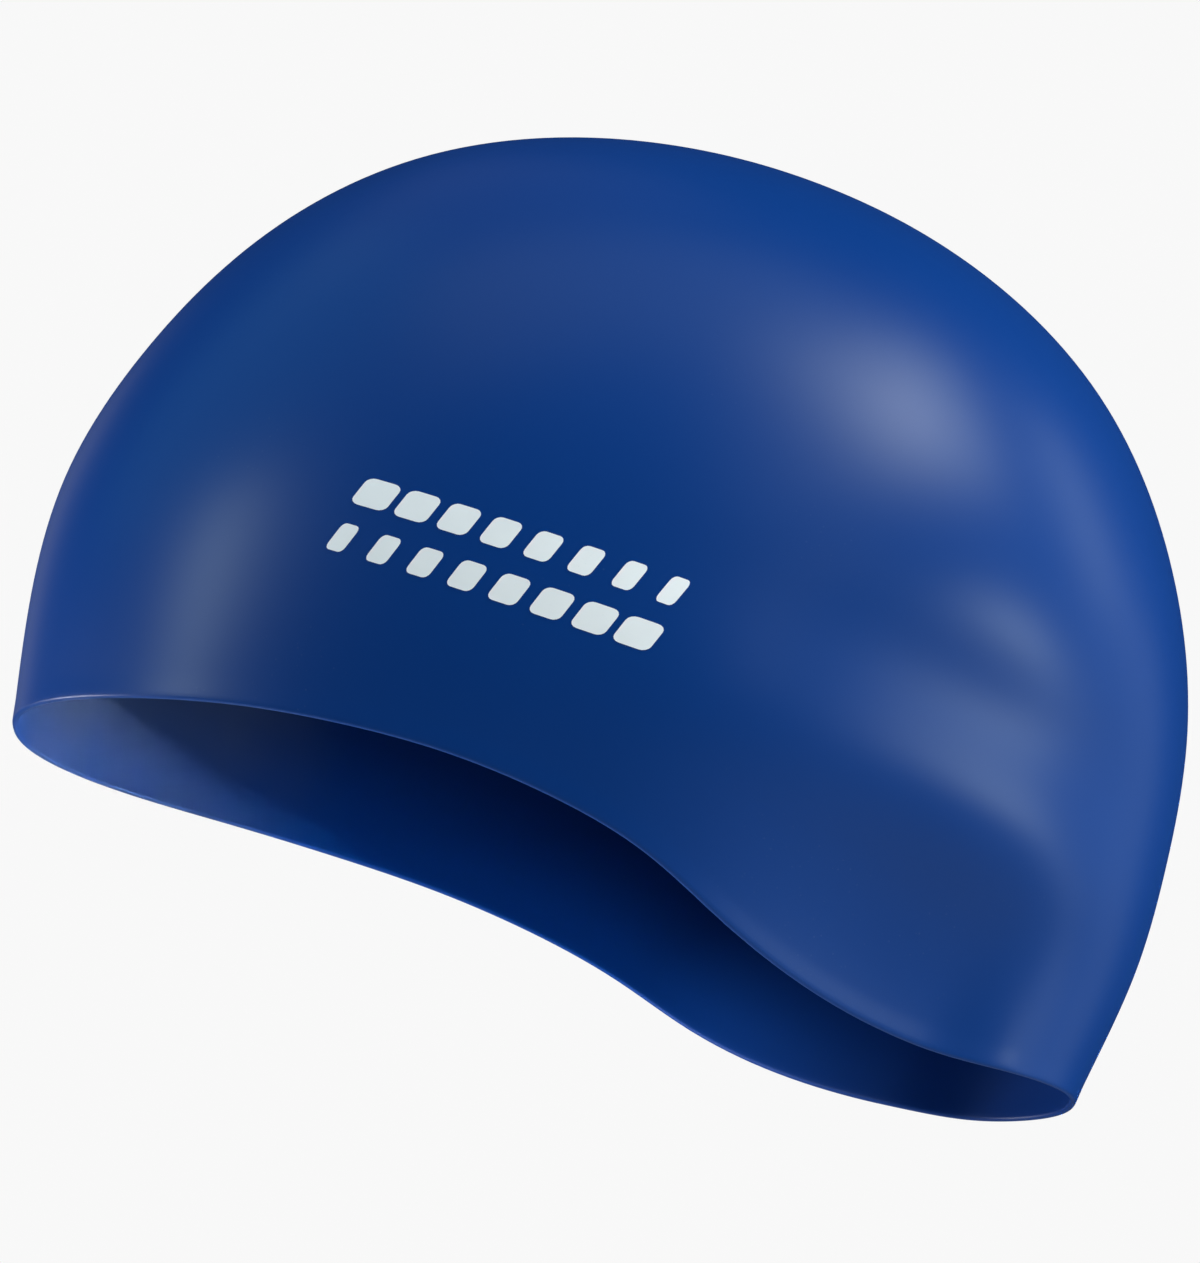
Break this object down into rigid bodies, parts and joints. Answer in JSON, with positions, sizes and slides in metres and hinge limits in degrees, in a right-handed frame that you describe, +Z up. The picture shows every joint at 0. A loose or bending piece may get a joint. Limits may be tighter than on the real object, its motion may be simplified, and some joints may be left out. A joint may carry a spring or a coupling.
{
  "type": "swim cap",
  "caption": "Adult's moulded silicone swim cap in its worn form: a smooth seamless dome, open below, with a thickened wavy rim that rises over the temples and dips behind the ears.",
  "frame": {"origin": "highest point of the hollow, where the crown of the wearer's upright head meets the inside of the cap", "axes": "+Z up as worn, brow towards -X and nape towards +X, so the rim line falls 19.6 degrees from brow to nape; the cap is symmetric about Y = 0"},
  "size_m": [0.2027, 0.1572, 0.1678],
  "materials": {
    "silicone_blue": "satin moulded silicone, deep blue, opaque",
    "print_white": "thin silicone ink, off-white, opaque; only on the visual model"
  },
  "bodies": {
    "root": {"cap_shell": "silicone_blue"}
  },
  "joints": []
}
